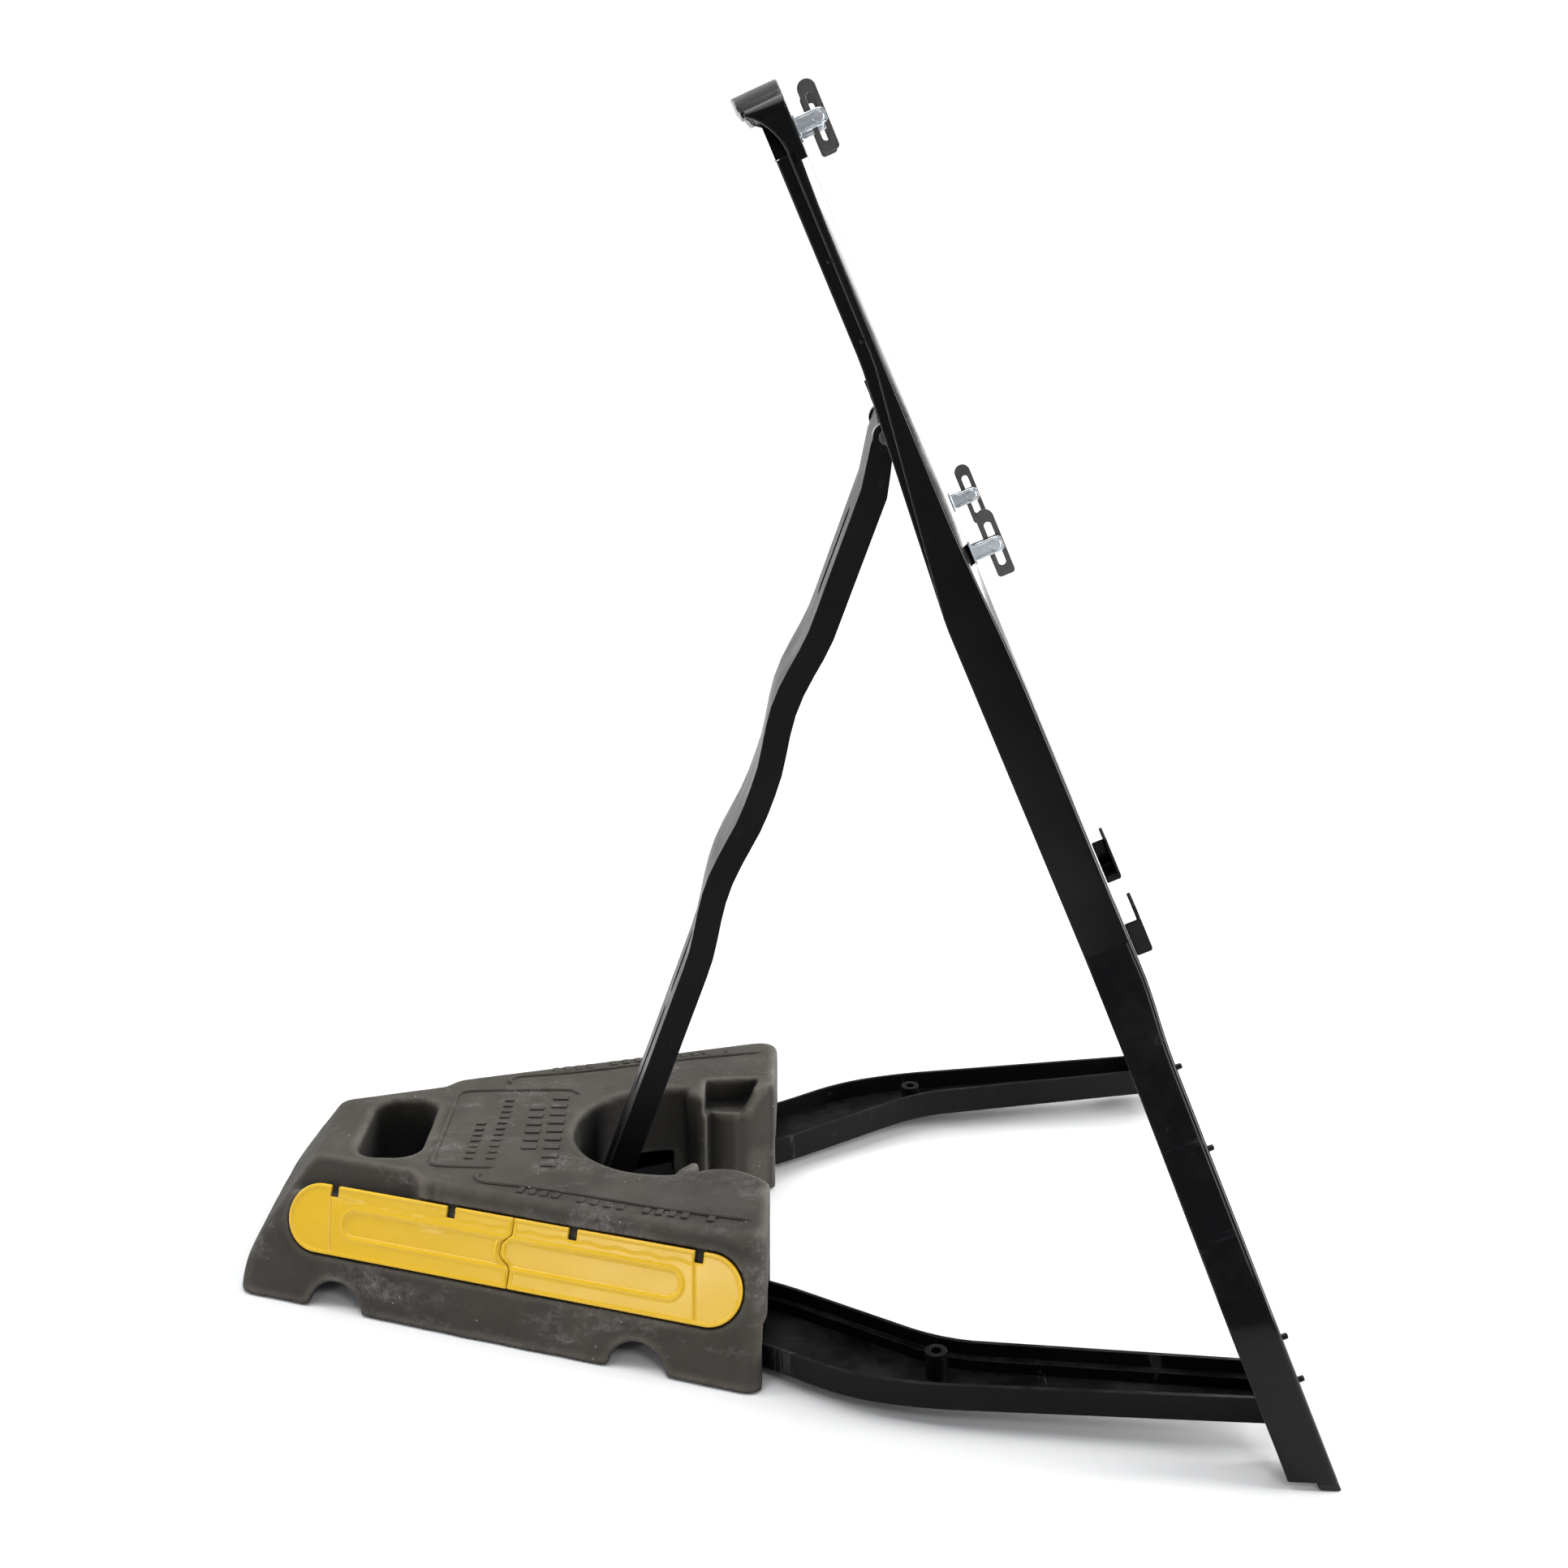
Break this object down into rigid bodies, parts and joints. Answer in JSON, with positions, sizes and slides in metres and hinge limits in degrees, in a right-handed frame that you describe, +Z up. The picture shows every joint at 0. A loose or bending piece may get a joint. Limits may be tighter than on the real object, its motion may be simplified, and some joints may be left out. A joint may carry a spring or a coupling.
{
  "type": "folding sign stand",
  "caption": "Folding stand for a temporary road sign: leaning plastic frame with sign clips, rear prop, folding base rails and a slotted rubber ballast block.",
  "frame": {"origin": "centre of the bounding box's footprint, on the ground", "axes": "+X to the right of someone who faces the sign side, -Y towards that person, +Z up"},
  "size_m": [0.7128, 0.904, 1.0082],
  "materials": {
    "frame_black": "moulded gloss black",
    "prop_black": "moulded gloss black, scuffed",
    "rail_black": "moulded satin black",
    "foot_rubber": "matt",
    "ballast_rubber": "moulded recycled rubber, matt, dusty",
    "panel_yellow": "moulded gloss yellow",
    "clip_zinc": "bright zinc plate",
    "tongue_steel": "dulled zinc plate",
    "pin_steel": "zinc plate"
  },
  "bodies": {
    "front_frame": {"upright_left": "frame_black", "upright_right": "frame_black", "leg_left": "frame_black", "leg_right": "frame_black", "foot_pad_left": "foot_rubber", "foot_pad_right": "foot_rubber", "lower_crossbar": "frame_black", "mid_crossbar": "frame_black", "sign_apron": "frame_black", "hinge_crossbar": "frame_black", "carry_handle": "frame_black", "clip_bracket_tl": "clip_zinc", "clip_bracket_tr": "clip_zinc", "clip_bracket_ml": "clip_zinc", "clip_bracket_mr": "clip_zinc", "clip_rivet_tl": "clip_zinc", "clip_rivet_tr": "clip_zinc", "clip_rivet_ml": "clip_zinc", "clip_rivet_mr": "clip_zinc", "sign_hook_left": "frame_black", "sign_hook_right": "frame_black", "prop_pin": "pin_steel", "hinge_bolt_left": "pin_steel", "hinge_bolt_right": "pin_steel"},
    "rear_prop": {"prop_leg": "prop_black"},
    "folding_base": {"rail_left": "rail_black", "rail_right": "rail_black", "rear_crossbar": "rail_black"},
    "ballast": {"ballast_block": "ballast_rubber", "panel_left_front": "panel_yellow", "panel_left_rear": "panel_yellow", "panel_right_front": "panel_yellow", "panel_right_rear": "panel_yellow"},
    "tongue_tl": {"clip_tongue_tl": "tongue_steel"},
    "tongue_tr": {"clip_tongue_tr": "tongue_steel"},
    "tongue_ml": {"clip_tongue_ml": "tongue_steel"},
    "tongue_mr": {"clip_tongue_mr": "tongue_steel"}
  },
  "joints": [
    {"name": "base_fold", "type": "hinge", "parent": "front_frame", "child": "folding_base", "pos_m": [0, -0.41, 0.047], "axis": [1, 0, 0], "range_deg": [0, 57]},
    {"name": "prop_fold", "type": "hinge", "parent": "front_frame", "child": "rear_prop", "pos_m": [0, -0.109, 0.747], "axis": [1, 0, 0], "range_deg": [-37.5, 0]},
    {"name": "ballast_slide", "type": "slide", "parent": "folding_base", "child": "ballast", "axis": [0, 1, 0], "range_m": [0, 0.7]},
    {"name": "clip_slide_tl", "type": "slide", "parent": "front_frame", "child": "tongue_tl", "axis": [0, 0.4003, 0.9164], "range_m": [-0.012, 0.012]},
    {"name": "clip_slide_tr", "type": "slide", "parent": "front_frame", "child": "tongue_tr", "axis": [0, 0.4003, 0.9164], "range_m": [-0.012, 0.012]},
    {"name": "clip_slide_ml", "type": "slide", "parent": "front_frame", "child": "tongue_ml", "axis": [0, 0.4003, 0.9164], "range_m": [-0.012, 0.012]},
    {"name": "clip_slide_mr", "type": "slide", "parent": "front_frame", "child": "tongue_mr", "axis": [0, 0.4003, 0.9164], "range_m": [-0.012, 0.012]}
  ],
  "couplings": [
    {"joint": "prop_fold", "follows": "base_fold", "ratio": -0.6579},
    {"joint": "ballast_slide", "follows": "base_fold", "m_per_rad": 0.70353}
  ]
}
